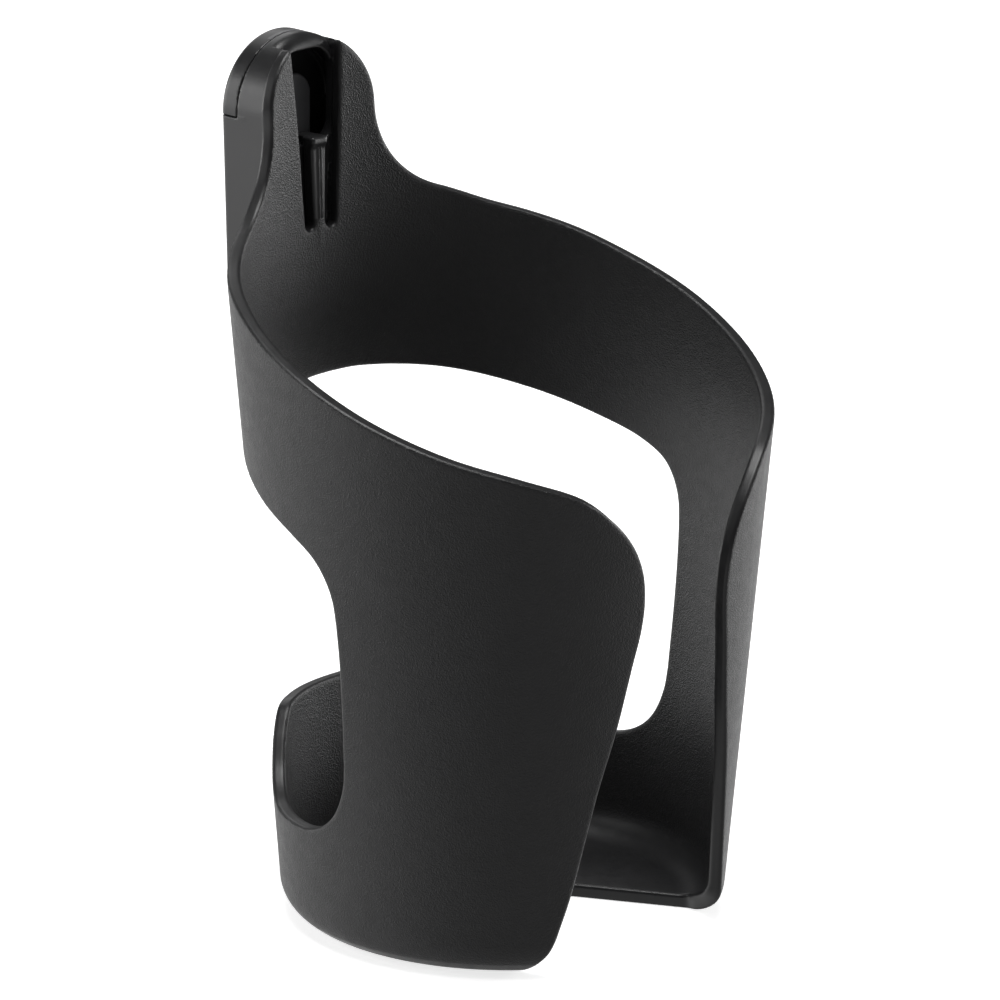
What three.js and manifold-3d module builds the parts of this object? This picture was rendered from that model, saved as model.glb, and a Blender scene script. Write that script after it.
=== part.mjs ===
// Open cup holder that slides onto a mounting tongue.
// Millimetres, +Z up. The origin is on the cup axis at the underside of the floor,
// the neck and its socket are at the back (+Y) and the open front faces -Y.
import * as THREE from 'three';
import { mergeVertices } from 'three/addons/utils/BufferGeometryUtils.js';
import Module from 'manifold-3d';

const wasm = await Module();
wasm.setup();

// ---- cup -------------------------------------------------------------------
const BASE_RADIUS = 38.4;      // outer radius at the underside
const WALL_FLARE = 0.0825;     // the radius grows this much per mm of height
const WALL = 2.4;              // wall thickness
const FLOOR = 2.4;             // floor thickness
const BASE_ROUND = 6.5;        // outer rounding between floor and wall
const COVE = 5.2;              // inner rounding between floor and wall
const GAP = 0.3;               // clearance between touching pieces

// Outlines on the wall, as [angle from the neck in degrees, height]. They are mirrored.
const RIM = [
  [0, 120.3], [30, 117.8], [57, 111.5], [87, 103.2], [120, 94.5], [150, 87.1], [163, 77.8], [166.8, 67.5],
];
const BAND_EDGE = [[0, 88.3], [30, 85.8], [60, 79.8], [80, 74.7], [90.4, 68.6], [93.1, 60.5]];
const SILL = [
  [0, 33.4], [25, 33.4], [33, 31.4], [46, 23.2], [57, 20.8], [73, 20.8], [86.6, 24.5], [93.1, 36],
];
const FRONT_EDGE = [
  [138.6, -1], [139.4, 1.4], [141.8, 3.1], [146.9, 6], [151.3, 14.3], [158, 35], [164.6, 57], [166.7, 68],
];
const FRONT_TOP = 67.4;        // height where the front edge turns into the rim
const NOTCH_ANGLE = 29.5;      // half angle of the notch in the floor
const NOTCH_POINT = 14.3;      // where its straight edges would meet
const NOTCH_END = -3.6;        // its inner end
const NOTCH_ROUND = 5.5;       // the corners there
const NOTCH_TOP = 3;           // it is cut up to here; above that the front edges go on

// ---- neck ------------------------------------------------------------------
const NECK_HALF = 12.8;        // half width of the neck
const ARCH_Z = 134.6;          // centre of its round top
const NECK_FILLET = 16.5;      // fillet between the neck and the rim
const FILLET_Z = 133.7;        // its centre
const FILLET_END = 73;         // degrees that it turns before it meets the rim
const SLOT_BOTTOM = 113.2;     // keyhole cut through the neck, open at the top
const SLOT_HALF_BOTTOM = 3.7;
const SLOT_HALF_TOP = 6.4;
const SLOT_ROUND = 1.0;        // its lower corners

// ---- latch finger ----------------------------------------------------------
const FINGER_BOTTOM = SLOT_BOTTOM + GAP;
const FINGER_TOP = 129.8;
const FINGER_HALF_BOTTOM = 1.4;
const FINGER_HALF_TOP = 1.85;
const HOOK_BOTTOM = 128.5;     // the hook reaches over the lower edge of the socket window
const HOOK_BACK = 51.2;
const HOOK_FRONT = 48.3;
const HOOK_HALF = 1.7;

// ---- socket ----------------------------------------------------------------
const SOCKET_BOTTOM = 101;
const SOCKET_BACK = 58.35;     // back face at the arch
const BACK_LEAN = 0.04;        // below the arch it comes forward this much per mm
const SEAM_Y = 54.2;           // parting plane between housing and cover
const WEB_BACK = 51.4;         // back of the housing's front web
const POCKET_HALF = 10.2;
const POCKET_BACK = 55.8;
const WINDOW_HALF = 5.8;
const WINDOW_BOTTOM = 128.1;
const WINDOW_TOP = 144.6;
const WINDOW_ROUND = 3.6;
const RAIL_HALF = 4.3;         // guide rail in the middle of the cover
const RAIL_FRONT = 53.3;
const RAIL_ARCH_Z = 135.7;

// ---- cutting bodies: how far they reach beyond the part ----------------------
const BELOW = -1;
const ABOVE = 152;
const INSIDE = 20;             // radius inside the wall
const OUTSIDE = 70;            // radius outside the wall

// ---- helpers ---------------------------------------------------------------
function solid(geometry) {
  const g = geometry.clone();
  g.deleteAttribute('normal');
  g.deleteAttribute('uv');
  const m = mergeVertices(g, 1e-4);
  return new wasm.Manifold(new wasm.Mesh({
    numProp: 3,
    vertProperties: new Float32Array(m.attributes.position.array),
    triVerts: new Uint32Array(m.index.array),
  }));
}

function addMesh(group, name, body, look) {
  const m = body.getMesh();
  let g = new THREE.BufferGeometry();
  g.setAttribute('position', new THREE.BufferAttribute(new Float32Array(m.vertProperties), 3));
  g.setIndex(new THREE.BufferAttribute(new Uint32Array(m.triVerts), 1));
  g = g.toNonIndexed();
  g.computeVertexNormals();
  const mesh = new THREE.Mesh(g, new THREE.MeshStandardMaterial(look));
  mesh.name = name;
  group.add(mesh);
}

const outerRadius = (z) => BASE_RADIUS + WALL_FLARE * z;

// Height of an outline at an angle, along a smooth curve through its points.
function heightAlong(points) {
  const curve = new THREE.SplineCurve(points.map(([a, z]) => new THREE.Vector2(a, z)));
  const fine = curve.getPoints(points.length * 12);
  return (angle) => {
    const a = Math.abs(angle);
    let i = 1;
    while (i < fine.length - 1 && fine[i].x < a) i += 1;
    const p = fine[i - 1];
    const q = fine[i];
    const t = Math.min(Math.max((a - p.x) / (q.x - p.x || 1), 0), 1);
    return p.y + (q.y - p.y) * t;
  };
}

// A box bent around the cup axis. corner(t, s) gives [angle, height] over the unit square.
function bentBox(corner, along, across, rIn, rOut) {
  const box = new THREE.BoxGeometry(1, 1, 1, along, across, 1);
  const p = box.attributes.position;
  for (let i = 0; i < p.count; i += 1) {
    const [angle, z] = corner(p.getX(i) + 0.5, p.getY(i) + 0.5);
    const r = p.getZ(i) > 0 ? rOut : rIn;
    const a = THREE.MathUtils.degToRad(angle);
    p.setXYZ(i, -r * Math.sin(a), r * Math.cos(a), z);
  }
  return solid(box);
}

// A flat outline in the XZ plane, extruded from y0 to y1.
function prismY(shape, y0, y1) {
  const g = new THREE.ExtrudeGeometry(shape, { depth: y1 - y0, bevelEnabled: false, curveSegments: 14 });
  return solid(g.rotateX(Math.PI / 2).translate(0, y1, 0));
}

function rect(x0, x1, z0, z1) {
  const s = new THREE.Shape();
  s.moveTo(x0, z0);
  s.lineTo(x1, z0);
  s.lineTo(x1, z1);
  s.lineTo(x0, z1);
  s.closePath();
  return s;
}

function roundedRect(half, z0, z1, r) {
  const s = new THREE.Shape();
  s.moveTo(-half + r, z0);
  s.lineTo(half - r, z0);
  s.absarc(half - r, z0 + r, r, -Math.PI / 2, 0);
  s.absarc(half - r, z1 - r, r, 0, Math.PI / 2);
  s.absarc(-half + r, z1 - r, r, Math.PI / 2, Math.PI);
  s.absarc(-half + r, z0 + r, r, Math.PI, Math.PI * 1.5);
  s.closePath();
  return s;
}

// Straight sides and a half-round top.
function archShape(half, z0, archZ) {
  const s = new THREE.Shape();
  s.moveTo(-half, z0);
  s.lineTo(half, z0);
  s.lineTo(half, archZ);
  s.absarc(0, archZ, half, 0, Math.PI);
  s.closePath();
  return s;
}

// ---- cup shell -------------------------------------------------------------
// Solid of revolution: offset 0 is the outer skin of the cup.
function cupProfile(offset, z0, zTop, corner) {
  const tilt = Math.atan(WALL_FLARE);
  const wallX = (z) => outerRadius(z) + offset;
  // corner arc centre: distance `corner` from the floor line and from the wall line
  const cz = z0 + corner;
  const cx = wallX(cz) - corner / Math.cos(tilt);
  const pts = [new THREE.Vector2(0, z0)];
  for (let i = 0; i <= 8; i += 1) {
    const a = -Math.PI / 2 + (Math.PI / 2 - tilt) * (i / 8);
    pts.push(new THREE.Vector2(cx + corner * Math.cos(a), cz + corner * Math.sin(a)));
  }
  pts.push(new THREE.Vector2(wallX(zTop), zTop), new THREE.Vector2(0, zTop));
  return pts;
}

const lathe = (pts) => solid(new THREE.LatheGeometry(pts, 108).rotateX(Math.PI / 2));

const outerSkin = lathe(cupProfile(0, 0, ABOVE, BASE_ROUND));
const innerSkin = lathe(cupProfile(-WALL, FLOOR, ABOVE + 1, COVE));
const rimZ = heightAlong(RIM);
const bandZ = heightAlong(BAND_EDGE);
const sillZ = heightAlong(SILL);
const frontAngle = heightAlong(FRONT_EDGE.map(([angle, z]) => [z - BELOW, angle]));

// More sections where the outlines turn quickly: far round the cup, and low down on the front edge.
const ease = (t) => 0.35 * t + 0.65 * (1 - (1 - t) ** 2.2);
const easeLow = (t) => t ** 1.7;

// Two mirrored bent boxes between the heights low and high, from the neck's middle to the angle end.
function sideCuts(end, low, high, along) {
  const start = -1.5;
  return [-1, 1].map((side) => bentBox((t, s) => {
    const angle = start + (end - start) * ease(side > 0 ? t : 1 - t);
    return [side * angle, s < 0.5 ? low(angle) : high(angle)];
  }, along, 1, INSIDE, OUTSIDE));
}

const aboveRim = sideCuts(169, rimZ, () => ABOVE + 20, 56);
const windowCut = sideCuts(BAND_EDGE.at(-1)[0], sillZ, bandZ, 46);
const frontCut = bentBox((t, s) => {
  const z = BELOW + (FRONT_TOP + 2 * GAP - BELOW) * easeLow(t);
  const half = 180 - frontAngle(z - BELOW);
  return [180 + half * (1 - 2 * s), z];
}, 24, 4, 26, OUTSIDE);
const frontEnd = RIM.at(-1)[0];
const frontTop = bentBox((t, s) => {
  const angle = frontEnd + 2 * (180 - frontEnd) * t;
  return [angle, FRONT_TOP + ABOVE * s];
}, 8, 1, INSIDE, OUTSIDE);

// The neck's outline: the arch, straight sides and a fillet on each side that ends on the rim.
const filletX = NECK_HALF + NECK_FILLET;
const filletEnd = THREE.MathUtils.degToRad(FILLET_END);
const endX = filletX - NECK_FILLET * Math.cos(filletEnd);
const endZ = FILLET_Z - NECK_FILLET * Math.sin(filletEnd);
const neckShape = new THREE.Shape();
neckShape.moveTo(-endX - 6, endZ - 20);
neckShape.lineTo(endX + 6, endZ - 20);
neckShape.lineTo(endX + 6, endZ - 4);
neckShape.absarc(filletX, FILLET_Z, NECK_FILLET, Math.PI + filletEnd, Math.PI, true);
neckShape.absarc(0, ARCH_Z, NECK_HALF, 0, Math.PI);
neckShape.absarc(-filletX, FILLET_Z, NECK_FILLET, 0, -filletEnd, true);
neckShape.lineTo(-endX - 6, endZ - 4);
neckShape.closePath();
const neckPrism = prismY(neckShape, 30, 60);

const slotX = SLOT_HALF_BOTTOM - SLOT_ROUND;
const slotZ = SLOT_BOTTOM + SLOT_ROUND;
const slotShape = new THREE.Shape();
slotShape.moveTo(-slotX, SLOT_BOTTOM);
slotShape.absarc(slotX, slotZ, SLOT_ROUND, -Math.PI / 2, 0);
slotShape.lineTo(SLOT_HALF_TOP, ABOVE);
slotShape.lineTo(-SLOT_HALF_TOP, ABOVE);
slotShape.absarc(-slotX, slotZ, SLOT_ROUND, Math.PI, Math.PI * 1.5);
slotShape.closePath();
const neckSlot = prismY(slotShape, 40, 60);

// The notch in the floor: straight edges and an inner end with round corners.
const notchAngle = THREE.MathUtils.degToRad(NOTCH_ANGLE);
const notchEdge = (y) => (NOTCH_POINT - y) * Math.tan(notchAngle);
const cornerY = NOTCH_END - NOTCH_ROUND;
const cornerX = notchEdge(cornerY) - NOTCH_ROUND / Math.cos(notchAngle);
const notchShape = new THREE.Shape();
notchShape.moveTo(-notchEdge(-OUTSIDE), -OUTSIDE);
notchShape.lineTo(notchEdge(-OUTSIDE), -OUTSIDE);
notchShape.absarc(cornerX, cornerY, NOTCH_ROUND, notchAngle, Math.PI / 2);
notchShape.absarc(-cornerX, cornerY, NOTCH_ROUND, Math.PI / 2, Math.PI - notchAngle);
notchShape.closePath();
const notchPrism = new THREE.ExtrudeGeometry(notchShape, {
  depth: NOTCH_TOP - BELOW,
  bevelEnabled: false,
  curveSegments: 10,
});
const notchCut = solid(notchPrism.translate(0, 0, BELOW));

let shell = outerSkin.subtract(innerSkin);
for (const cut of aboveRim) shell = shell.subtract(cut.subtract(neckPrism));
for (const cut of windowCut) shell = shell.subtract(cut);
shell = shell.subtract(frontCut).subtract(frontTop).subtract(notchCut).subtract(neckSlot);

// ---- latch finger ----------------------------------------------------------
const fingerShape = new THREE.Shape();
fingerShape.moveTo(-FINGER_HALF_BOTTOM, FINGER_BOTTOM);
fingerShape.lineTo(FINGER_HALF_BOTTOM, FINGER_BOTTOM);
fingerShape.lineTo(FINGER_HALF_TOP, FINGER_TOP);
fingerShape.lineTo(-FINGER_HALF_TOP, FINGER_TOP);
fingerShape.closePath();
const finger = prismY(fingerShape, 40, 60)
  .intersect(outerSkin)
  .subtract(innerSkin)
  .add(prismY(rect(-HOOK_HALF, HOOK_HALF, HOOK_BOTTOM, FINGER_TOP), HOOK_FRONT, HOOK_BACK));

// ---- socket housing and cover ----------------------------------------------
// Everything behind the socket's back face, which leans forward below the arch.
const backAt = (z) => SOCKET_BACK - BACK_LEAN * (ARCH_Z - z);
const behindShape = new THREE.Shape();
behindShape.moveTo(SOCKET_BACK, ARCH_Z);
behindShape.lineTo(backAt(SOCKET_BOTTOM - 1), SOCKET_BOTTOM - 1);
behindShape.lineTo(OUTSIDE, SOCKET_BOTTOM - 1);
behindShape.lineTo(OUTSIDE, ARCH_Z);
behindShape.closePath();
const behindPrism = new THREE.ExtrudeGeometry(behindShape, { depth: 40, bevelEnabled: false });
// the shape's axes are Y and Z, and it is extruded along X
const behind = solid(behindPrism.applyMatrix4(new THREE.Matrix4().set(
  0, 0, 1, -20,
  1, 0, 0, 0,
  0, 1, 0, 0,
  0, 0, 0, 1,
)));

const cupClearance = lathe(cupProfile(GAP, 0, ABOVE + 8, BASE_ROUND));
const pocketBottom = SOCKET_BOTTOM - 2;
const pocket = prismY(archShape(POCKET_HALF, pocketBottom, ARCH_Z), WEB_BACK, POCKET_BACK);
const window = roundedRect(WINDOW_HALF, WINDOW_BOTTOM, WINDOW_TOP, WINDOW_ROUND);
const housing = prismY(archShape(NECK_HALF, SOCKET_BOTTOM, ARCH_Z), 40, SOCKET_BACK)
  .subtract(behind)
  .subtract(cupClearance)
  .subtract(pocket)
  .subtract(prismY(window, 45, WEB_BACK + 1))
  .subtract(prismY(rect(-20, 20, ARCH_Z - 2 * GAP, ABOVE), SEAM_Y - GAP / 2, OUTSIDE))
  .subtract(prismY(rect(-POCKET_HALF, POCKET_HALF, pocketBottom, ARCH_Z), WEB_BACK + 1, OUTSIDE));

const plateHalf = POCKET_HALF - GAP;
const coverHead = prismY(archShape(NECK_HALF, ARCH_Z - GAP, ARCH_Z), SEAM_Y + GAP / 2, SOCKET_BACK);
const coverPlate = prismY(rect(-plateHalf, plateHalf, SOCKET_BOTTOM, ARCH_Z + 1), POCKET_BACK, SOCKET_BACK);
const rail = prismY(archShape(RAIL_HALF, SOCKET_BOTTOM, RAIL_ARCH_Z), RAIL_FRONT, POCKET_BACK + 0.5);
const cover = coverHead.subtract(pocket).add(coverPlate.subtract(behind)).add(rail);

// ---- assembly --------------------------------------------------------------
const group = new THREE.Group();
addMesh(group, 'cup_shell', shell, { color: 0x1d1e20, roughness: 0.55, metalness: 0 });
addMesh(group, 'latch_finger', finger, { color: 0x232426, roughness: 0.45, metalness: 0 });
addMesh(group, 'socket_housing', housing, { color: 0x242527, roughness: 0.4, metalness: 0 });
addMesh(group, 'socket_cover', cover, { color: 0x242527, roughness: 0.4, metalness: 0 });

export default group;
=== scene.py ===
"""Slide-on cup holder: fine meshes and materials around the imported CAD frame.

Lengths are in mm until they become mesh, angles in degrees unless a function says otherwise.
"""

import math

import bmesh
import bpy
import numpy as np
from mathutils import Matrix, Vector, kdtree


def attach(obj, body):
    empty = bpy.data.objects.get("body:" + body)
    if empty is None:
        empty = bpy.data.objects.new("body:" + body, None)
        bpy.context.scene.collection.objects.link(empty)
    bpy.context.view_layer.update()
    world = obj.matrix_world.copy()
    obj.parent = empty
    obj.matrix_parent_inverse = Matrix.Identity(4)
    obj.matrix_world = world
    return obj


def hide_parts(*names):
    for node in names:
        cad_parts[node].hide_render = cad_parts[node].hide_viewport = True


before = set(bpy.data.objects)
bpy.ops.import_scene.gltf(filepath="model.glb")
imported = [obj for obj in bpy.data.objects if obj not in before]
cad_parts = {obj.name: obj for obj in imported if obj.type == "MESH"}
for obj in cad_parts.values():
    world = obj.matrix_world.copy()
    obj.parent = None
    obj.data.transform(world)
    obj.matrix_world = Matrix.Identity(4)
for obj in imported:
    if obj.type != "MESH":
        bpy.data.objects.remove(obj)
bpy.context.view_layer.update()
MM = 0.001

# ---- cup dimensions, as in the CAD model ------------------------------------
BASE_RADIUS = 38.4            # outer radius at the underside
FLARE = 0.0825                # radius gained per mm of height
WALL = 2.4
HALF = WALL / 2
BASE_ROUND = 6.5              # outer rounding between floor and wall
COVE = 5.6                    # inner rounding between floor and wall
EDGE_ROUND = 0.55             # rounding of the wall's cut edges

NECK_HALF = 12.8
ARCH_Z = 134.6
NECK_FILLET = 16.5            # fillet between the neck and the rim
FILLET_Z = 133.7              # its centre
FILLET_END = 73               # degrees that it turns before it meets the rim

SLOT_BOTTOM = 113.2
SLOT_HALF_BOTTOM = 3.7
SLOT_HALF_TOP = 6.4
SLOT_TOP = 152.0
FINGER_ROOT = 115.2           # the finger bends above this height
FINGER_TOP = 129.8
FINGER_HALF_BOTTOM = 1.35
FINGER_HALF_TOP = 1.85
FINGER_REACH = 2.6            # the finger lies within this of the middle, the slot's walls outside
FINGER_CORNER = 0.55          # rounding of its top corners in the slot's outline
TIP_ROUND = 0.5               # and on the finger itself
FINGER_LIP = 0.5              # its top stands this much further into the cup
LIP_HEIGHT = 2.4
# The hook's half width, its middle and half depth in y, and its middle and half height in z.
HOOK = (1.45, 49.6, 1.6, 129.15, 0.65)
HOOK_ROUND = 0.3
RIDGES = [(-0.28, 0.2, 0.26), (0.42, 0.17, 0.182)]     # x, width and height of the ridges on its front
RIDGES_FROM_Z = 109.5         # they rise out of the wall from here
RIDGES_FADE = 5.5             # over this height
RIDGES_REACH = 8              # degrees from the neck's middle that have to be searched for them

NOTCH_ANGLE = math.radians(29.5)       # half angle of the notch in the floor
NOTCH_POINT = 14.3                     # where its straight edges would meet
NOTCH_END = -3.6                       # its inner end
NOTCH_ROUND = 5.5                      # the corners there
NOTCH_EDGE_FROM = -24.0                # its edges run into the leg's corners here

GRID_TOP = 151.5              # the cup's grid ends here, above the neck

# Where the wall stands outside the cone: how far, degrees from the neck, degrees wide, height, mm tall.
ROOT_BULGE = (0.9, 0.0, 19.0, 112.0, 15.0)
FLANK_BULGE = (0.45, 46.0, 19.0, 120.0, 32.0)

SOCKET_BOTTOM = 101.0
SOCKET_BACK = 58.35
BACK_LEAN = 0.04               # below the arch the back comes forward this much per mm
SEAM_Y = 54.2
WEB_BACK = 51.4
POCKET_HALF = 10.2
POCKET_BACK = 55.8
WINDOW = (5.8, 128.1, 144.6, 3.6)      # half width, bottom, top, corner radius
RAIL_HALF = 4.3
RAIL_FRONT = 53.3
RAIL_ARCH_Z = 135.7
FLASH_Z = 134.0                # the line where the cover's head ends, with a trace of flash
FLASH_FRONT = 52.0
FLASH_BACK = 0.6               # it ends this far before the back
FLASH_HALF = 0.14              # half its width
FLASH_OUT = 0.13               # how far it stands out
CROWN_ROUND = 2.4              # rounding between the front of the crown and the arch
SEAM = 0.1                             # width of the parting line
SEAM_ROUND = 0.16                      # rounding of its edges
BOSS_START = 0.5                       # the boss starts this far outside the middle of the wall
BOSS_ROUND = 1.2                       # rounding of its back and lower edges
POCKET_ROUND = 0.5
MOUTH_ROUND = 0.25                     # rounding of the pocket's mouth
WINDOW_ROUND = 0.35                    # rounding of the edges of the neck's window and of the rail
RAIL_FOOT = 1.0                        # the rail starts this far above the boss's underside
FOOT_ROUND = 0.5                       # rounding of its lower end
RAIL_ROOT = 0.6                        # it reaches this far into the cover
PLATE_IN = 0.3                         # the cover's plate is this much narrower than the pocket
SMALL_ROUND = 0.2                      # rounding of the small edges

# Grid steps along the cup's sheet, round it in degrees and through it, then for the other pieces.
STEP_S = 0.55
STEP_T = 0.72
STEP_N = 0.3
N_FROM, N_COUNT = -2.25, 14            # the grid through the sheet, deep enough for the cove
SOCKET_STEP = 0.29
FINGER_STEP = 0.22
SHARP = math.radians(50)               # edges sharper than this aren't shaded smooth

# The room that each grid covers, a little more than its piece.
FINGER_BOX = ((-3, 43, FINGER_ROOT), (3, 53, 131))
HOUSING_BOX = ((-14.2, 44, SOCKET_BOTTOM - 1), (14.2, 59.4, 148.8))
COVER_BOX = ((-14.2, 51, SOCKET_BOTTOM - 1), (14.2, 59.4, 148.8))

# Where the cup's skin has its grain.
GRAIN_FACING = (0.6, 0.9)              # alignment with the sheet's normal from none to full grain
GRAIN_Z = (5.2, 7.7)                   # inside the cup, heights from none to full grain

# Outlines on the wall, as (degrees from the neck, height). Each is one side of a mirrored curve.
RIM = [(34.5, 117.05), (41, 115.2), (50, 113.25), (60, 110.9), (72, 107.5), (87, 103.25), (104, 98.3),
       (122, 93.65), (138, 90.2), (151, 86.6), (158, 82.4), (163, 77.8), (166, 72.5), (166.9, 67)]
LEG_CORNER = [(147.6, 40.2), (146.2, 38.6), (144.3, 37), (142, 35.2), (140, 33.6)]   # (degrees, s)
FRONT_EDGE = [(166.4, 62), (164.7, 56), (161.3, 44), (157.8, 34.5), (151.7, 15), (148.5, 7.5)]
WINDOW_EDGE = [(0, 87.9), (9, 87.75), (30, 85.8), (50, 82), (68, 77.8), (80, 74.75), (87.2, 71.7),
               (91.6, 66.6), (93.1, 58), (93.1, 40), (92, 31), (87.8, 25.3), (80, 21.8), (66, 20.6),
               (54, 21.1), (45, 23.8), (36, 29.4), (29.5, 32.8), (22, 33.5), (0, 33.5)]
WALL_DEGREE = 0.75            # about the length of one degree along the wall, so that curves turn evenly
FLOOR_DEGREE = 0.6            # the same round the lower corners of the legs
OUTLINE_STEP = 0.2            # spacing of the outlines' points


# ---- curves -----------------------------------------------------------------
def resample(points, step):
    """The polyline through points, with a point every step or so."""
    p = np.asarray(points, float)
    d = np.hypot(*np.diff(p, axis=0).T)
    at = np.concatenate([[0], np.cumsum(d)])
    n = max(2, int(at[-1] / step) + 1)
    q = np.linspace(0, at[-1], n)
    return np.stack([np.interp(q, at, p[:, 0]), np.interp(q, at, p[:, 1])], 1)


def smooth(points, scale=1.0, per_span=16):
    """A centripetal Catmull-Rom curve. scale brings the first coordinate to the second's unit."""
    p = np.asarray(points, float) * [scale, 1]
    p = np.vstack([2 * p[0] - p[1], p, 2 * p[-1] - p[-2]])
    out = []
    for i in range(1, len(p) - 2):
        a, b, c, d = p[i - 1:i + 3]
        t0 = 0.0
        t1 = t0 + np.linalg.norm(b - a) ** 0.5
        t2 = t1 + np.linalg.norm(c - b) ** 0.5
        t3 = t2 + np.linalg.norm(d - c) ** 0.5
        for t in np.linspace(t1, t2, per_span, endpoint=False):
            ab = (t1 - t) / (t1 - t0) * a + (t - t0) / (t1 - t0) * b
            bc = (t2 - t) / (t2 - t1) * b + (t - t1) / (t2 - t1) * c
            cd = (t3 - t) / (t3 - t2) * c + (t - t2) / (t3 - t2) * d
            abc = (t2 - t) / (t2 - t0) * ab + (t - t0) / (t2 - t0) * bc
            bcd = (t3 - t) / (t3 - t1) * bc + (t - t1) / (t3 - t1) * cd
            out.append((t2 - t) / (t2 - t1) * abc + (t - t1) / (t2 - t1) * bcd)
    out.append(p[-2])
    return np.array(out) / [scale, 1]


def arc(cx, cy, r, a0, a1, n=24):
    a = np.radians(np.linspace(a0, a1, n))
    return np.stack([cx + r * np.cos(a), cy + r * np.sin(a)], 1)


# ---- the cup as a bent sheet --------------------------------------------------
# s runs along the middle of the sheet from the axis over the floor, round the corner and up the
# wall. theta is in degrees from the neck. n is the offset from the middle, outwards.
TILT = math.atan(FLARE)
BEND = BASE_ROUND - HALF
BEND_X = BASE_RADIUS + FLARE * BASE_ROUND - BASE_ROUND / math.cos(TILT)
BEND_S = BEND * (math.pi / 2 - TILT)
WALL_S = BEND_X + BEND_S
WALL_R = BEND_X + BEND * math.cos(TILT)
WALL_Z = BASE_ROUND - BEND * math.sin(TILT)


def profile(s):
    """Radius, height and outward normal (radial, up) of the sheet's middle at s."""
    s = np.asarray(s, float)
    a = -np.pi / 2 + np.clip((s - BEND_X) / BEND, 0, BEND_S / BEND)
    up = np.maximum(s - WALL_S, 0)
    r = np.minimum(s, BEND_X) + BEND * np.cos(a) + up * math.sin(TILT)
    z = BASE_ROUND + BEND * np.sin(a) + up * math.cos(TILT)
    return r, z, np.cos(a), np.sin(a)


def wall_s(z):
    return WALL_S + (np.asarray(z, float) - WALL_Z) / math.cos(TILT)


def mid_radius(z):
    return WALL_R + (np.asarray(z, float) - WALL_Z) * FLARE


def bulge(theta, z):
    """How far the wall stands outside the cone, at the neck's root and to its left and right."""
    def hill(out, middle, width, height, tall):
        return out * np.exp(-((np.abs(theta) - middle) / width) ** 2 - ((z - height) / tall) ** 2)

    return hill(*ROOT_BULGE) + hill(*FLANK_BULGE)


def sheet_point(s, theta, n):
    r, z, nr, nz = profile(s)
    rr = r + n * nr + bulge(theta, z)
    a = np.radians(theta)
    return np.stack([-rr * np.sin(a), rr * np.cos(a), z + n * nz], -1)


def wall_outline(points):
    """(theta, z) points as (theta, s)."""
    p = np.asarray(points, float)
    return np.stack([p[:, 0], wall_s(p[:, 1])], 1)


def neck_outline(points):
    """(x, z) points on the neck as (theta, s)."""
    p = np.asarray(points, float)
    return np.stack([np.degrees(np.arcsin(p[:, 0] / mid_radius(p[:, 1]))), wall_s(p[:, 1])], 1)


def floor_outline(points):
    """(x, y) points on the floor as (theta, s); theta is measured so that the front is 180."""
    p = np.asarray(points, float)
    return np.stack([np.degrees(np.arctan2(p[:, 0], p[:, 1])), np.hypot(p[:, 0], p[:, 1])], 1)


def mirrored(half):
    """A closed outline from its half: the half starts and ends on the mirror plane."""
    return np.vstack([half, (half * [-1, 1])[::-1][1:-1]])


def rim_and_front():
    """From the neck's top along the rim, down the front edge and along the notch to its end."""
    neck = np.vstack([arc(0, ARCH_Z, NECK_HALF, 90, 0, 40),
                      arc(NECK_HALF + NECK_FILLET, FILLET_Z, NECK_FILLET, 180, 180 + FILLET_END, 24)])
    wall = smooth(RIM + FRONT_EDGE, scale=WALL_DEGREE)
    cy = NOTCH_END - NOTCH_ROUND
    cx = (NOTCH_POINT - cy) * math.tan(NOTCH_ANGLE) - NOTCH_ROUND / math.cos(NOTCH_ANGLE)
    end = np.vstack([arc(cx, cy, NOTCH_ROUND, math.degrees(NOTCH_ANGLE), 90, 16), [[0, NOTCH_END]]])
    along = np.linspace(NOTCH_EDGE_FROM, end[0][1], 20)
    edge = np.stack([(NOTCH_POINT - along) * math.tan(NOTCH_ANGLE), along], 1)
    notch = floor_outline(np.vstack([edge, end]))
    corner = smooth([tuple(wall_outline(wall)[-2]), tuple(wall_outline(wall)[-1]), *LEG_CORNER,
                     tuple(notch[0]), tuple(notch[1])], scale=FLOOR_DEGREE)
    return np.vstack([neck_outline(neck), wall_outline(wall)[:-1], corner, notch[2:]])


def slot_outline():
    """The keyhole slot of the neck with the finger standing in it: a U, open at the top."""
    r = (SLOT_HALF_BOTTOM - FINGER_HALF_BOTTOM) / 2
    mid = (SLOT_HALF_BOTTOM + FINGER_HALF_BOTTOM) / 2
    half = np.vstack([
        [[0, FINGER_TOP]],
        arc(FINGER_HALF_TOP - FINGER_CORNER, FINGER_TOP - FINGER_CORNER, FINGER_CORNER, 90, 0, 8),
        [[FINGER_HALF_BOTTOM, SLOT_BOTTOM + r]],
        arc(mid, SLOT_BOTTOM + r, r, 180, 360, 20),
        [[SLOT_HALF_TOP, SLOT_TOP], [0, SLOT_TOP]],
    ])
    return neck_outline(half)


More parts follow.
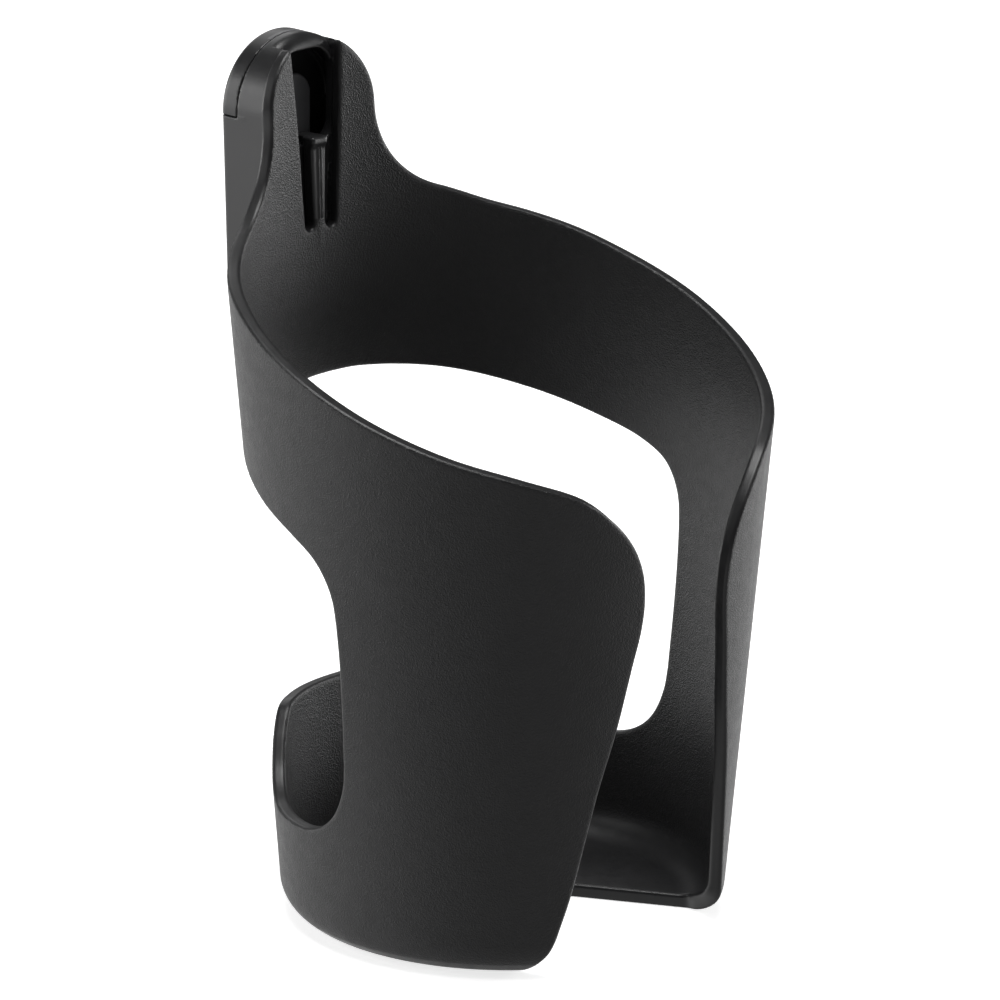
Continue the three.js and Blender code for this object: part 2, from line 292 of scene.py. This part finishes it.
# ---- distance to the outlines, over the sheet ---------------------------------
class Outlines:
    """Outlines on the sheet, as close points in 3D on its middle surface."""

    def __init__(self, lines):
        pts, nxt, prv = [], [], []
        for line in lines:
            fine = resample(line * [WALL_DEGREE, 1], OUTLINE_STEP) / [WALL_DEGREE, 1]
            k = sum(map(len, pts))
            n = len(fine)
            pts.append(sheet_point(fine[:, 1], -fine[:, 0], 0.0))
            nxt.append(k + np.minimum(np.arange(n) + 1, n - 1))
            prv.append(k + np.maximum(np.arange(n) - 1, 0))
        self.p = np.vstack(pts)
        self.nxt = np.concatenate(nxt)
        self.prv = np.concatenate(prv)
        self.tree = kdtree.KDTree(len(self.p))
        for i, p in enumerate(self.p):
            self.tree.insert(p, i)
        self.tree.balance()

    def distance(self, q):
        near = np.fromiter((self.tree.find(v)[1] for v in q), int, len(q))
        best = np.full(len(q), 1e9)
        for other in (self.nxt[near], self.prv[near]):
            a, b = self.p[near], self.p[other]
            ab = b - a
            t = np.clip(((q - a) * ab).sum(1) / np.maximum((ab * ab).sum(1), 1e-12), 0, 1)
            best = np.minimum(best, np.linalg.norm(q - a - ab * t[:, None], axis=1))
        return best


def inside(loop, thetas, ss):
    """True where a grid point lies inside the closed loop, by counting crossings along each row."""
    a, b = loop, np.roll(loop, -1, 0)
    out = np.zeros((len(ss), len(thetas)), bool)
    for i, s in enumerate(ss):
        hit = (a[:, 1] > s) != (b[:, 1] > s)
        if hit.any():
            x = a[hit, 0] + (s - a[hit, 1]) / (b[hit, 1] - a[hit, 1]) * (b[hit, 0] - a[hit, 0])
            out[i] = np.searchsorted(np.sort(x), thetas) % 2 == 1
    return out


# ---- surface nets -------------------------------------------------------------
CORNERS = [(i, j, k) for i in (0, 1) for j in (0, 1) for k in (0, 1)]
EDGES = [(a, b) for a in CORNERS for b in CORNERS
         if a < b and sum(abs(x - y) for x, y in zip(a, b)) == 1]
SNAPS = 3                     # rounds of moving the points onto the exact surface
WELD = 1e-7                   # in m: points closer than this become one


def surface_nets(field):
    """Points in grid coordinates and quads where field changes sign. Negative is inside."""
    solid = field < 0
    shape = np.array(field.shape) - 1
    total = sum(solid[i:i + shape[0], j:j + shape[1], k:k + shape[2]].astype(np.int8)
                for i, j, k in CORNERS)
    cells = np.argwhere((total > 0) & (total < 8))
    point = np.zeros((len(cells), 3))
    count = np.zeros(len(cells))
    for a, b in EDGES:
        va = field[tuple((cells + a).T)]
        vb = field[tuple((cells + b).T)]
        cross = (va < 0) != (vb < 0)
        t = np.where(cross, va / np.where(cross, va - vb, 1), 0)
        point += np.where(cross, 1, 0)[:, None] * (np.array(a) + t[:, None] * (np.array(b) - a))
        count += cross
    point = cells + point / count[:, None]
    index = np.full(tuple(shape), -1)
    index[tuple(cells.T)] = np.arange(len(cells))
    quads = []
    for axis in range(3):
        u, v = (axis + 1) % 3, (axis + 2) % 3
        lo = [slice(None)] * 3
        hi = [slice(None)] * 3
        lo[axis], hi[axis] = slice(0, -1), slice(1, None)
        flips = np.argwhere(solid[tuple(lo)] != solid[tuple(hi)])
        ok = (flips[:, u] > 0) & (flips[:, v] > 0) & (flips[:, u] < shape[u]) & (flips[:, v] < shape[v])
        flips = flips[ok]
        du, dv = np.eye(3, dtype=int)[u], np.eye(3, dtype=int)[v]
        q = np.stack([index[tuple((flips - du - dv).T)], index[tuple((flips - dv).T)],
                      index[tuple(flips.T)], index[tuple((flips - du).T)]], 1)
        out = solid[tuple(flips.T)]
        quads.append(np.where(out[:, None], q, q[:, ::-1]))
    return point, np.vstack(quads)


def round_and(a, b, r):
    """Where both a and b are negative, with the edge between them rounded to radius r."""
    u, v = a + r, b + r
    return np.minimum(np.maximum(u, v), 0) + np.hypot(np.maximum(u, 0), np.maximum(v, 0)) - r


def new_mesh(name, points, faces):
    """An object from points in mm, welded, smooth and without stray points."""
    mesh = bpy.data.meshes.new(name)
    mesh.from_pydata((points * MM).tolist(), [], [list(dict.fromkeys(f)) for f in faces.tolist()])
    mesh.validate()
    bm = bmesh.new()
    bm.from_mesh(mesh)
    bmesh.ops.remove_doubles(bm, verts=bm.verts, dist=WELD)
    bmesh.ops.dissolve_degenerate(bm, edges=bm.edges, dist=WELD / 10)
    bmesh.ops.delete(bm, geom=[v for v in bm.verts if not v.link_faces], context="VERTS")
    for face in bm.faces:
        face.smooth = True
    bm.to_mesh(mesh)
    bm.free()
    obj = bpy.data.objects.new(name, mesh)
    bpy.context.scene.collection.objects.link(obj)
    return obj


def net_object(name, sdf, low, high, step):
    """A piece from a signed distance in mm, with its points moved onto the exact surface."""
    low = np.array(low, float)
    n = np.ceil((np.array(high) - low) / step).astype(int) + 1
    axes = [low[i] + step * np.arange(n[i]) for i in range(3)]
    x, y, z = np.meshgrid(*axes, indexing="ij")
    points, quads = surface_nets(sdf(x, y, z))
    p = low + step * points
    h = 0.02
    for _ in range(SNAPS):
        f = sdf(*p.T)
        g = np.stack([(sdf(*(p + d).T) - sdf(*(p - d).T)) / (2 * h) for d in np.eye(3) * h], 1)
        move = f[:, None] * g / np.maximum((g * g).sum(1), 0.2)[:, None]
        p -= np.clip(move, -step / 2, step / 2)
    return new_mesh(name, p, quads)


# ---- cup shell and finger -------------------------------------------------------
def ridges(x, z):
    """Height of the upright ridges on the finger's front, which run out in the wall below it."""
    fade = np.clip((z - RIDGES_FROM_Z) / RIDGES_FADE, 0, 1) * np.clip((FINGER_TOP + 2 - z) / 2, 0, 1)
    return fade * sum(height * np.exp(-((x - at) / width) ** 2) for at, width, height in RIDGES)


def skins(s, t, n):
    """How far a place on the sheet is outside its two skins. The inner one has its own cove."""
    r, z, nr, nz = profile(s)
    r, z = r + n * nr, z + n * nz
    inner = BASE_RADIUS + FLARE * z - WALL / math.cos(TILT)
    cavity = round_and((r - inner) * math.cos(TILT), WALL - z, COVE)
    x = -r * np.sin(np.radians(t))
    return np.maximum(n - HALF, -cavity - np.where(np.abs(t) < RIDGES_REACH, ridges(x, z), 0))


def make_cup():
    front = rim_and_front()
    slot = slot_outline()
    window = smooth(wall_outline(WINDOW_EDGE), scale=WALL_DEGREE)
    s_end = float(wall_s(GRID_TOP))
    above = np.vstack([front, [[180.0, front[-1, 1]], [180.0, s_end], [0.0, s_end]]])
    loops = [above, above * [-1, 1], mirrored(slot), mirrored(window)]
    outlines = Outlines([half * side for half in (front, slot, window) for side in ([1, 1], [-1, 1])])
    ss = np.arange(0, s_end, STEP_S)
    count = round(360 / STEP_T)
    thetas = -180 + STEP_T * np.arange(count)
    cut = np.zeros((len(ss), count), bool)
    for loop in loops:
        cut |= inside(loop, -thetas[::-1], ss)[:, ::-1]
    grid_t, grid_s = np.meshgrid(thetas, ss)
    mid = sheet_point(grid_s.ravel(), grid_t.ravel(), 0.0)
    edge = outlines.distance(mid).reshape(grid_s.shape) * np.where(cut, 1, -1)
    ns = N_FROM + STEP_N * np.arange(N_COUNT)
    edge_wrapped = np.hstack([edge, edge[:, :2]])
    thetas_wrapped = np.concatenate([thetas, thetas[:2] + 360])
    skin = skins(ss[:, None, None], thetas_wrapped[None, :, None], ns[None, None, :])
    field = round_and(skin, edge_wrapped[:, :, None], EDGE_ROUND)
    points, quads = surface_nets(field)
    s = points[:, 0] * STEP_S
    t = -180 + points[:, 1] * STEP_T
    n = N_FROM + points[:, 2] * STEP_N
    s, t, n = snap(edge_wrapped, s, t, n)
    s[points[:, 0] < 1] = 0.0         # the innermost ring closes on the axis
    return new_mesh("cup_shell_fine", sheet_point(s, t, n), drop_repeated(points, quads, count))


def drop_repeated(points, quads, count):
    """The quads with the last column's points, which are the first column's again, put together."""
    key = np.floor(points).astype(int)
    last = key[:, 1] >= count
    table = {tuple(k): i for i, k in enumerate(key.tolist()) if k[1] == 0}
    same = np.arange(len(points))
    for i in np.flatnonzero(last):
        same[i] = table.get((key[i, 0], 0, key[i, 2]), i)
    keep = ~last[quads].all(1)
    return same[quads[keep]]


def bilinear(grid, a, b):
    i = np.clip(np.floor(a).astype(int), 0, grid.shape[0] - 2)
    j = np.clip(np.floor(b).astype(int), 0, grid.shape[1] - 2)
    u, v = a - i, b - j
    return ((1 - u) * (1 - v) * grid[i, j] + u * (1 - v) * grid[i + 1, j]
            + (1 - u) * v * grid[i, j + 1] + u * v * grid[i + 1, j + 1])


def snap(edge, s, t, n):
    """Moves the points onto the exact rounded surface, in the sheet's own coordinates."""
    h = 0.05

    def value(s, t, n):
        return round_and(skins(s, t, n), bilinear(edge, s / STEP_S, (t + 180) / STEP_T), EDGE_ROUND)

    for _ in range(SNAPS):
        r = np.maximum(profile(s)[0], 1.0)
        deg = np.degrees(h / r)
        f = value(s, t, n)
        gs = (value(s + h, t, n) - value(s - h, t, n)) / (2 * h)
        gt = (value(s, t + deg, n) - value(s, t - deg, n)) / (2 * h)
        gn = (value(s, t, n + h) - value(s, t, n - h)) / (2 * h)
        k = np.clip(f / np.maximum(gs ** 2 + gt ** 2 + gn ** 2, 0.3), -0.3, 0.3)
        s, t, n = s - k * gs, t - k * gt * deg / h, n - k * gn
    return s, t, n


def cut_off_finger(cup):
    """Takes the finger above its root out of the cup's mesh and closes the cut."""
    bm = bmesh.new()
    bm.from_mesh(cup.data)
    root = FINGER_ROOT * MM
    low, high = (SLOT_BOTTOM + 0.3) * MM, (FINGER_TOP + 1.2) * MM

    def on_finger(v):
        return abs(v.co.x) < FINGER_REACH * MM and v.co.y > 0 and low < v.co.z < high

    def whole(faces):
        return [f for f in faces if all(map(on_finger, f.verts))]

    faces = whole(bm.faces)
    geom = faces + list({e for f in faces for e in f.edges}) + list({v for f in faces for v in f.verts})
    bmesh.ops.bisect_plane(bm, geom=geom, plane_co=(0, 0, root), plane_no=(0, 0, 1))
    gone = [f for f in whole(bm.faces) if f.calc_center_median().z > root]
    bmesh.ops.delete(bm, geom=gone, context="FACES")
    rim = [e for e in bm.edges if e.is_boundary and all(map(on_finger, e.verts))]
    bmesh.ops.holes_fill(bm, edges=rim)
    bmesh.ops.recalc_face_normals(bm, faces=bm.faces)
    bm.to_mesh(cup.data)
    bm.free()


# ---- pieces given by a distance in space ---------------------------------------
def cone_offset(x, y, z):
    """Distance outwards from the middle of the wall, carried on above and below the cup."""
    theta = np.degrees(np.arctan2(-x, y))
    return (np.hypot(x, y) - mid_radius(z) - bulge(theta, z)) * math.cos(TILT)


def arch(x, z, half, top):
    """Distance to straight sides under a half-round top."""
    return np.where(z > top, np.hypot(x, z - top) - half, np.abs(x) - half)


def rounded_slot(x, z, half, low, high, r):
    """Distance to a window with rounded corners."""
    return round_and(np.abs(x) - half, np.abs(z - (low + high) / 2) - (high - low) / 2, r)


def between(z, low, high, at_low, at_high):
    """Goes evenly from at_low at the height low to at_high at the height high, and on beyond."""
    return at_low + (at_high - at_low) * (z - low) / (high - low)


def finger_sdf(x, y, z):
    half = between(z, SLOT_BOTTOM, FINGER_TOP, FINGER_HALF_BOTTOM, FINGER_HALF_TOP)
    n = cone_offset(x, y, z)
    lip = FINGER_LIP * np.clip((z - (FINGER_TOP - LIP_HEIGHT)) / (LIP_HEIGHT / 2), 0, 1) ** 2
    skin = np.maximum(n - HALF, -n - HALF - np.maximum(ridges(x, z), lip))
    sides = round_and(np.abs(x) - half, z - FINGER_TOP, TIP_ROUND)
    body = round_and(skin, sides, EDGE_ROUND)
    hook_half, hook_y, hook_depth, hook_z, hook_height = HOOK
    hook = np.maximum(np.abs(y - hook_y) - hook_depth, np.abs(z - hook_z) - hook_height)
    return np.minimum(body, round_and(np.abs(x) - hook_half, hook, HOOK_ROUND))


def back_y(z):
    """The back of the socket leans in a little below the arch."""
    return SOCKET_BACK - BACK_LEAN * np.maximum(ARCH_Z - z, 0)


def boss_sdf(x, y, z):
    """The whole boss: housing and cover together, without the pocket."""
    side = arch(x, z, NECK_HALF, ARCH_Z)
    side = round_and(side, SOCKET_BOTTOM - z, BOSS_ROUND)
    line = np.abs(z - FLASH_Z) - FLASH_HALF
    ends = np.maximum(FLASH_FRONT - y, y - back_y(z) + FLASH_BACK)
    flash = np.maximum(np.maximum(line, side - FLASH_OUT), ends)
    solid = np.minimum(round_and(side, y - back_y(z), BOSS_ROUND), flash)
    n = cone_offset(x, y, z)
    # Behind the wall the boss reaches a little into it. In the slot its front rolls over into the arch.
    behind_wall = round_and(solid, BOSS_START - n, SMALL_ROUND)
    in_slot = round_and(solid, HALF + 0.05 - n, CROWN_ROUND)
    slot_half = between(z, SLOT_BOTTOM, SLOT_TOP, SLOT_HALF_BOTTOM, SLOT_HALF_TOP)
    return np.where(np.abs(x) < slot_half, in_slot, behind_wall)


def pocket_sdf(x, y, z):
    side = arch(x, z, POCKET_HALF, ARCH_Z)
    return round_and(side, np.maximum(WEB_BACK - y, y - POCKET_BACK), POCKET_ROUND)


def cover_space(x, y, z, gap):
    """The room that the cover takes out of the boss, grown by gap."""
    head = round_and(FLASH_Z - gap - z, SEAM_Y - gap - y, SMALL_ROUND)
    plate = round_and(np.abs(x) - POCKET_HALF + PLATE_IN - gap, POCKET_BACK - gap - y, SMALL_ROUND)
    return np.minimum(head, np.maximum(plate, z - ARCH_Z))


def housing_sdf(x, y, z):
    window = rounded_slot(x, z, *WINDOW)
    solid = round_and(boss_sdf(x, y, z), -pocket_sdf(x, y, z), MOUTH_ROUND)
    solid = round_and(solid, -np.maximum(window, y - WEB_BACK - 1), WINDOW_ROUND)
    return round_and(solid, -cover_space(x, y, z, SEAM), SEAM_ROUND)


def cover_sdf(x, y, z):
    solid = round_and(boss_sdf(x, y, z), cover_space(x, y, z, 0.0), SEAM_ROUND)
    solid = round_and(solid, -pocket_sdf(x, y, z), MOUTH_ROUND)
    rail = round_and(arch(x, z, RAIL_HALF, RAIL_ARCH_Z), SOCKET_BOTTOM + RAIL_FOOT - z, FOOT_ROUND)
    rail = round_and(rail, RAIL_FRONT - y, WINDOW_ROUND)
    return np.minimum(solid, np.maximum(rail, y - POCKET_BACK - RAIL_ROOT))


def add_pieces():
    cup = make_cup()
    cut_off_finger(cup)
    grain_weight(cup)
    finger = net_object("finger_fine", finger_sdf, *FINGER_BOX, FINGER_STEP)
    close_root(finger)
    housing = net_object("socket_housing_fine", housing_sdf, *HOUSING_BOX, SOCKET_STEP)
    cover = net_object("socket_cover_fine", cover_sdf, *COVER_BOX, SOCKET_STEP)
    for piece, body, node, slot in ((cup, "holder", "cup_shell", "textured_plastic"),
                                    (finger, "latch", "latch_finger", "latch_plastic"),
                                    (housing, "holder", "socket_housing", "smooth_plastic"),
                                    (cover, "holder", "socket_cover", "smooth_plastic")):
        piece.data.set_sharp_from_angle(angle=SHARP)
        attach(piece, body)
        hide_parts(node)
    return cup, finger, housing, cover


def grain_weight(cup):
    """Stores where the cup has its grain: not on the cut edges and not inside on the floor."""
    def read(what):
        values = np.empty(len(cup.data.vertices) * 3, np.float32)
        cup.data.vertices.foreach_get(what, values)
        return values.reshape(-1, 3)

    x, y, z = (read("co") / MM).T
    nx, ny, nz = read("normal").T
    r = np.maximum(np.hypot(x, y), 0.01)
    across, up = r - BEND_X, z - BASE_ROUND
    size = np.maximum(np.hypot(across, up), 0.01)
    wall, floor = z > BASE_ROUND, r < BEND_X
    sheet_r = np.where(wall, math.cos(TILT), np.where(floor, 0, across / size))
    sheet_z = np.where(wall, -math.sin(TILT), np.where(floor, -1, up / size))
    facing = np.abs((nx * x + ny * y) / r * sheet_r + nz * sheet_z)
    weight = np.interp(facing, GRAIN_FACING, (0, 1))
    within = (r < BASE_RADIUS + FLARE * z - HALF) & (z > HALF)
    weight = np.where(within, weight * np.interp(z, GRAIN_Z, (0, 1)), weight)
    values = cup.data.attributes.new("grain", "FLOAT", "POINT").data
    values.foreach_set("value", weight.astype(np.float32))


def close_root(finger):
    """Closes the finger's lower end, which the grid leaves open at the root."""
    bm = bmesh.new()
    bm.from_mesh(finger.data)
    open_edges = [e for e in bm.edges if e.is_boundary]
    for v in {v for e in open_edges for v in e.verts}:
        v.co.z = FINGER_ROOT * MM
    bmesh.ops.holes_fill(bm, edges=open_edges)
    bmesh.ops.recalc_face_normals(bm, faces=bm.faces)
    bm.to_mesh(finger.data)
    bm.free()


# ---- materials ------------------------------------------------------------------
def node(tree, kind, inputs=(), **settings):
    n = tree.nodes.new(kind)
    for key, value in settings.items():
        setattr(n, key, value)
    for key, value in dict(inputs).items():
        if isinstance(value, bpy.types.NodeSocket):
            tree.links.new(value, n.inputs[key])
        else:
            n.inputs[key].default_value = value
    return n


# Shade, roughness, size and depth of the grain in mm, and how much the shade drifts.
TEXTURED = (0.015, 0.46, 0.45, 0.11, 0.12)
SATIN = (0.017, 0.34, 0.25, 0.006, 0.08)
# The rail is black plastic like the rest. Its lighter grey is painted light, standing in for the light
# that falls on its front inside the pocket.
RAIL_PAINTED_LIGHT = (0.09, 0.4, 0.3, 0.008, 0.08)
BARE_ROUGH = 0.37             # roughness of the cup's skin where it has no grain
FINE_GRAIN = 0.55             # size of the finer grain, as a part of the grain's
SHADE_DRIFT_MM = 9
GLOSS_DRIFT_MM = 2.2
GLOSS_DRIFT = 0.05            # roughness drifts by this much either way
BLUE = 1.06                   # the black is a little blue


def plastic(name, shade, rough, grain_mm, grain_depth, mottle, bare_rough=None):
    """Moulded black plastic with an eroded grain, and a shade and gloss that drift over the surface.

    With bare_rough, the piece's "grain" attribute says where the grain is, and the rest has
    that roughness.
    """
    mat = bpy.data.materials.new(name)
    mat.use_nodes = True
    tree = mat.node_tree
    shader = tree.nodes["Principled BSDF"]
    where = node(tree, "ShaderNodeTexCoord").outputs["Object"]

    def noise(size_mm, detail, roughness=0.5):
        return node(tree, "ShaderNodeTexNoise",
                    {"Vector": where, "Scale": 1000 / size_mm, "Detail": detail,
                     "Roughness": roughness}).outputs["Fac"]

    cells = node(tree, "ShaderNodeTexVoronoi", {"Vector": where, "Scale": 1000 / grain_mm},
                 feature="SMOOTH_F1").outputs["Distance"]
    fine = noise(grain_mm * FINE_GRAIN, 2)
    drift = noise(SHADE_DRIFT_MM, 3)
    grain = node(tree, "ShaderNodeMath", {0: cells, 1: fine}, operation="MULTIPLY_ADD")
    tree.links.new(fine, grain.inputs[2])
    colour = node(tree, "ShaderNodeMapRange",
                  {"Value": drift, "From Min": 0.3, "From Max": 0.7,
                   "To Min": shade * (1 - mottle), "To Max": shade * (1 + mottle)})
    grey = node(tree, "ShaderNodeCombineColor", {"Red": colour.outputs[0], "Green": colour.outputs[0]})
    blue = node(tree, "ShaderNodeMath", {0: colour.outputs[0], 1: BLUE}, operation="MULTIPLY")
    tree.links.new(blue.outputs[0], grey.inputs["Blue"])
    tree.links.new(grey.outputs[0], shader.inputs["Base Color"])
    gloss = node(tree, "ShaderNodeMapRange",
                 {"Value": noise(GLOSS_DRIFT_MM, 4, 0.6), "From Min": 0.3, "From Max": 0.7,
                  "To Min": rough - GLOSS_DRIFT, "To Max": rough + GLOSS_DRIFT})
    tree.links.new(gloss.outputs[0], shader.inputs["Roughness"])
    bump = node(tree, "ShaderNodeBump",
                {"Height": grain.outputs[0], "Strength": 1.0, "Distance": grain_depth * MM})
    if bare_rough:
        weight = node(tree, "ShaderNodeAttribute", attribute_name="grain").outputs["Fac"]
        deep = node(tree, "ShaderNodeMath", {0: grain.outputs[0], 1: weight}, operation="MULTIPLY")
        tree.links.new(deep.outputs[0], bump.inputs["Height"])
        step = node(tree, "ShaderNodeMapRange",
                    {"Value": weight, "To Min": bare_rough - rough, "To Max": 0.0})
        mixed = node(tree, "ShaderNodeMath", {0: gloss.outputs[0], 1: step.outputs[0]},
                     operation="ADD")
        tree.links.new(mixed.outputs[0], shader.inputs["Roughness"])
    tree.links.new(bump.outputs[0], shader.inputs["Normal"])
    shader.inputs["Specular IOR Level"].default_value = 0.5
    return mat


def paint(pieces):
    cup, finger, housing, cover = pieces
    textured = plastic("textured_plastic", *TEXTURED, bare_rough=BARE_ROUGH)
    satin = plastic("smooth_plastic", *SATIN)
    latch = plastic("latch_plastic", *SATIN)
    grey = plastic("rail_painted_light", *RAIL_PAINTED_LIGHT)
    for obj, mat in ((cup, textured), (finger, latch), (housing, satin), (cover, satin)):
        obj.data.materials.append(mat)
    cover.data.materials.append(grey)
    # The rail's faces in the pocket get the lighter grey: painted light on black plastic.
    for face in cover.data.polygons:
        x, y, _ = face.center / MM
        if abs(x) < RAIL_HALF + 0.1 and y < POCKET_BACK - RAIL_ROOT:
            face.material_index = 1


pieces = add_pieces()
paint(pieces)

# ---- camera, light and floor -------------------------------------------------
MIDDLE = Vector((0, 0, 0.07))         # the camera and the lights are aimed here
CAMERA_TURN = (-45.63, 16.77, 0.656)  # azimuth (0 looks along +Y), elevation and roll in degrees
CAMERA_DISTANCE = 1.29515
FOCAL = 7.511757                      # in widths of the picture
SENSOR = 36
SHIFT = (-0.00652, 0.02141)
FLOOR_HALF = 4
FLOOR_SHADE = 0.8
FLOOR_ROUGH = 0.9
FLOOR_GLOW = 0.75
WORLD_BELOW = 0.36                    # what the cup sees of a bright floor
WORLD_ABOVE = 0.1
HORIZON = 0.02                        # the one turns into the other within this of the horizon
GLOW_SPREAD = 5                       # the higher, the narrower each patch below
GLOW_ELEVATION = -14
# Where the floor throws up more light: azimuth in degrees, strength. None comes from the front left.
FLOOR_GLOWS = [(0, 0.55), (45, 0.9), (90, 0.25), (135, 0.97), (180, 0.28), (315, 0.5)]
LIGHT_DISTANCE = 1.2
# Name, azimuth and elevation in degrees, width and height in m, watts.
LIGHTS = [
    ("behind_left", 120, 12, 0.6, 0.6, 5.1),
    ("behind_left_high", 150, 32, 0.6, 0.6, 0.9),
    ("right", 345, 12, 0.6, 0.5, 5.8),
    ("right_front", 330, 5, 0.6, 0.5, 3.2),
    ("behind_right", 60, 32, 0.6, 0.6, 1.4),
    ("above", 90, 90, 0.6, 0.6, 9.0),
]


def make_camera():
    azimuth, elevation, roll = map(math.radians, CAMERA_TURN)
    back = Vector((math.sin(azimuth) * math.cos(elevation),
                   -math.cos(azimuth) * math.cos(elevation), math.sin(elevation)))
    cam = bpy.data.cameras.new("camera")
    cam.sensor_width = SENSOR
    cam.lens = FOCAL * SENSOR
    cam.shift_x, cam.shift_y = SHIFT
    cam.clip_end = 20
    obj = bpy.data.objects.new("camera", cam)
    obj.location = MIDDLE + back * CAMERA_DISTANCE
    obj.rotation_euler = (back.to_track_quat("Z", "Y").to_matrix().to_4x4()
                          @ Matrix.Rotation(roll, 4, "Z")).to_euler()
    bpy.context.scene.collection.objects.link(obj)
    bpy.context.scene.camera = obj


def direction(azimuth, elevation):
    """The unit vector at an azimuth in degrees from +X towards +Y and an elevation in degrees."""
    a, e = math.radians(azimuth), math.radians(elevation)
    return Vector((math.cos(a) * math.cos(e), math.sin(a) * math.cos(e), math.sin(e)))


def soft_light(name, azimuth, elevation, width, height, power):
    """A softbox aimed at the middle of the cup."""
    way = direction(azimuth, elevation)
    light = bpy.data.lights.new(name, "AREA")
    light.shape = "RECTANGLE"
    light.size, light.size_y = width, height
    light.energy = power
    obj = bpy.data.objects.new(name, light)
    obj.location = MIDDLE + way * LIGHT_DISTANCE
    obj.rotation_euler = way.to_track_quat("Z", "Y").to_euler()
    bpy.context.scene.collection.objects.link(obj)


def make_floor():
    """A pale floor that glows evenly. The cup doesn't see it: the world's lower half lights the cup."""
    floor = bpy.data.objects.new("floor", bpy.data.meshes.new("floor"))
    corners = [(x * FLOOR_HALF, y * FLOOR_HALF, 0) for x, y in ((-1, -1), (1, -1), (1, 1), (-1, 1))]
    floor.data.from_pydata(corners, [], [(0, 1, 2, 3)])
    bpy.context.scene.collection.objects.link(floor)
    mat = bpy.data.materials.new("floor")
    mat.use_nodes = True
    shader = mat.node_tree.nodes["Principled BSDF"]
    shader.inputs["Base Color"].default_value = (FLOOR_SHADE, FLOOR_SHADE, FLOOR_SHADE, 1)
    shader.inputs["Roughness"].default_value = FLOOR_ROUGH
    shader.inputs["Emission Color"].default_value = (1, 1, 1, 1)
    shader.inputs["Emission Strength"].default_value = FLOOR_GLOW
    floor.data.materials.append(mat)
    floor.visible_diffuse = False
    floor.visible_glossy = False


def make_world():
    """A dim sky, and below it the light that a bright floor throws up, more from some sides."""
    world = bpy.data.worlds.new("world")
    world.use_nodes = True
    tree = world.node_tree
    way = node(tree, "ShaderNodeTexCoord").outputs["Generated"]
    up = node(tree, "ShaderNodeSeparateXYZ", {0: way}).outputs["Z"]
    glow = WORLD_BELOW
    for azimuth, strength in FLOOR_GLOWS:
        facing = node(tree, "ShaderNodeVectorMath", {0: way, 1: direction(azimuth, GLOW_ELEVATION)},
                      operation="DOT_PRODUCT")
        front = node(tree, "ShaderNodeMath", {0: facing.outputs["Value"], 1: 0.0}, operation="MAXIMUM")
        patch = node(tree, "ShaderNodeMath", {0: front.outputs[0], 1: GLOW_SPREAD}, operation="POWER")
        glow = node(tree, "ShaderNodeMath", {0: patch.outputs[0], 1: strength, 2: glow},
                    operation="MULTIPLY_ADD").outputs[0]
    sky = node(tree, "ShaderNodeMapRange",
               {"Value": up, "From Min": -HORIZON, "From Max": HORIZON,
                "To Min": glow, "To Max": WORLD_ABOVE})
    tree.links.new(sky.outputs[0], tree.nodes["Background"].inputs["Strength"])
    tree.nodes["Background"].inputs["Color"].default_value = (1, 1, 1, 1)
    bpy.context.scene.world = world


make_camera()
make_floor()
make_world()
for light in LIGHTS:
    soft_light(*light)
bpy.context.scene.view_settings.view_transform = "Standard"
